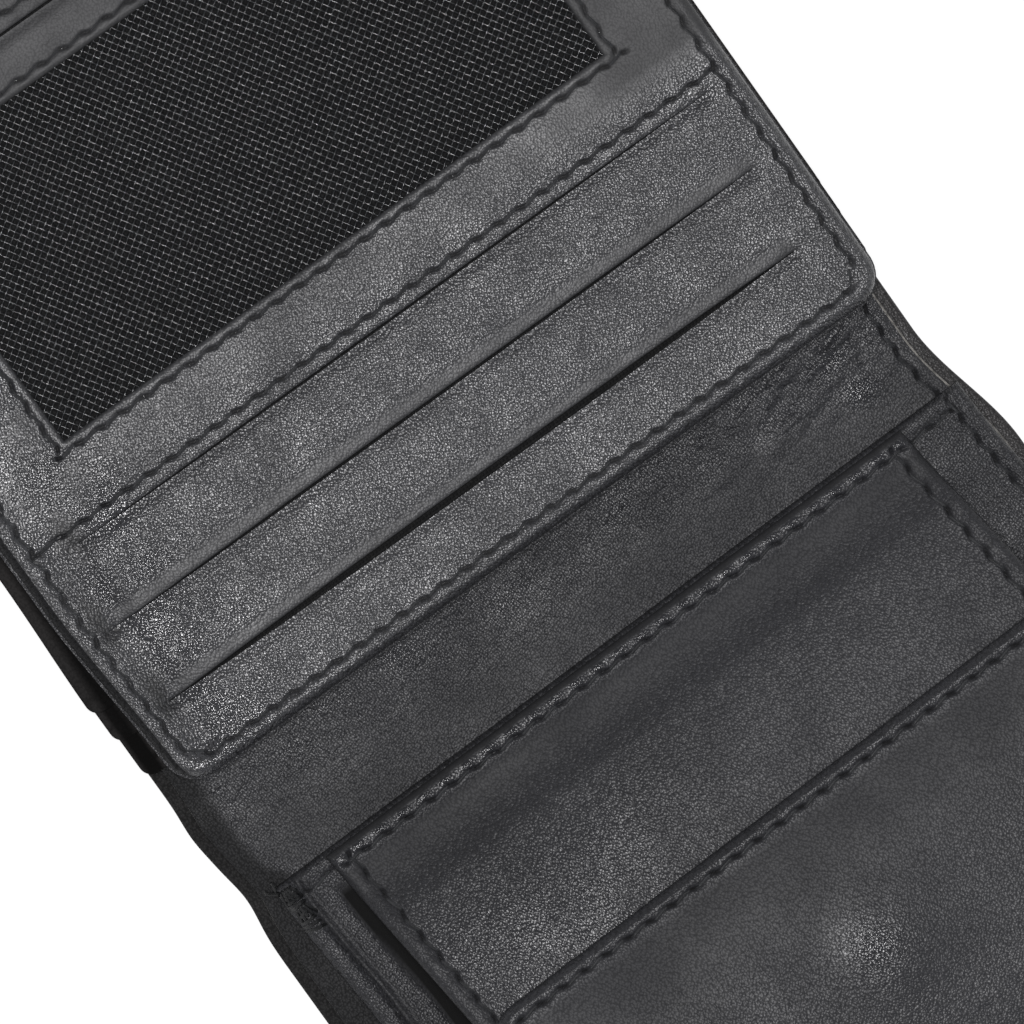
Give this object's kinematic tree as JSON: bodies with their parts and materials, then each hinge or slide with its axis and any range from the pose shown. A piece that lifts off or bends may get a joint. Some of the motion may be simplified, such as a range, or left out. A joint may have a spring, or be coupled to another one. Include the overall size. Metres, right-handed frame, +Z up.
{
  "type": "trifold wallet",
  "caption": "Leather trifold wallet lying open, with a card flap that has a mesh window and card slots, a note compartment and a gusseted coin pouch with a snap.",
  "frame": {"origin": "under the middle of the spine, on the face that the open wallet lies on", "axes": "+X along the card slots, +Y from the spine to the card flap's hinge, +Z up from the surface it lies on"},
  "size_m": [0.104, 0.193, 0.0195],
  "materials": {
    "outer_leather": "smooth black leather",
    "inner_leather": "smooth black leather with a fine grain",
    "flap_leather": "pebbled black leather",
    "lining_cloth": "plain black lining",
    "window_mesh": "woven black mesh",
    "snap_metal": "dark nickel"
  },
  "bodies": {
    "card_half": {"cover_upper": "outer_leather", "lining_upper": "lining_cloth", "middle_panel": "inner_leather", "card_pocket_back": "inner_leather", "card_pocket_middle": "inner_leather", "card_pocket_front": "inner_leather", "flap_hinge_strip": "flap_leather"},
    "card_flap": {"flap_back": "flap_leather", "slot_lining_lower": "lining_cloth", "slot_lining_middle": "lining_cloth", "slot_lining_upper": "lining_cloth", "id_pocket_lining": "lining_cloth", "mesh_window": "window_mesh", "window_frame": "flap_leather", "slot_panel": "flap_leather"},
    "spine": {"cover_spine": "outer_leather", "lining_spine": "lining_cloth", "inner_spine": "inner_leather"},
    "coin_half": {"cover_lower": "outer_leather", "lining_lower": "lining_cloth", "inner_lower": "inner_leather", "coin_base": "inner_leather", "coin_front": "inner_leather", "gusset_left": "inner_leather", "gusset_right": "inner_leather", "coin_flap_root": "inner_leather", "snap_post": "snap_metal", "snap_stud": "snap_metal"},
    "coin_flap": {"coin_flap_lining": "lining_cloth", "coin_flap_outer": "inner_leather", "snap_socket": "snap_metal", "snap_cap": "snap_metal"}
  },
  "joints": [
    {"name": "card_flap_fold", "type": "hinge", "parent": "card_half", "child": "card_flap", "pos_m": [0, 0.0968, 0.00505], "axis": [-1, 0, 0], "range_deg": [0, 180]},
    {"name": "spine_fold", "type": "hinge", "parent": "card_half", "child": "spine", "pos_m": [0, 0.0068, 0.00355], "axis": [-1, 0, 0], "range_deg": [0, 84]},
    {"name": "coin_half_fold", "type": "hinge", "parent": "spine", "child": "coin_half", "pos_m": [0, -0.0068, 0.00355], "axis": [-1, 0, 0], "range_deg": [0, 84]},
    {"name": "coin_flap_fold", "type": "hinge", "parent": "coin_half", "child": "coin_flap", "pos_m": [0, -0.0902, 0.008], "axis": [1, 0, 0], "range_deg": [0, 150]}
  ],
  "couplings": [
    {"joint": "coin_half_fold", "follows": "spine_fold", "ratio": 1}
  ]
}
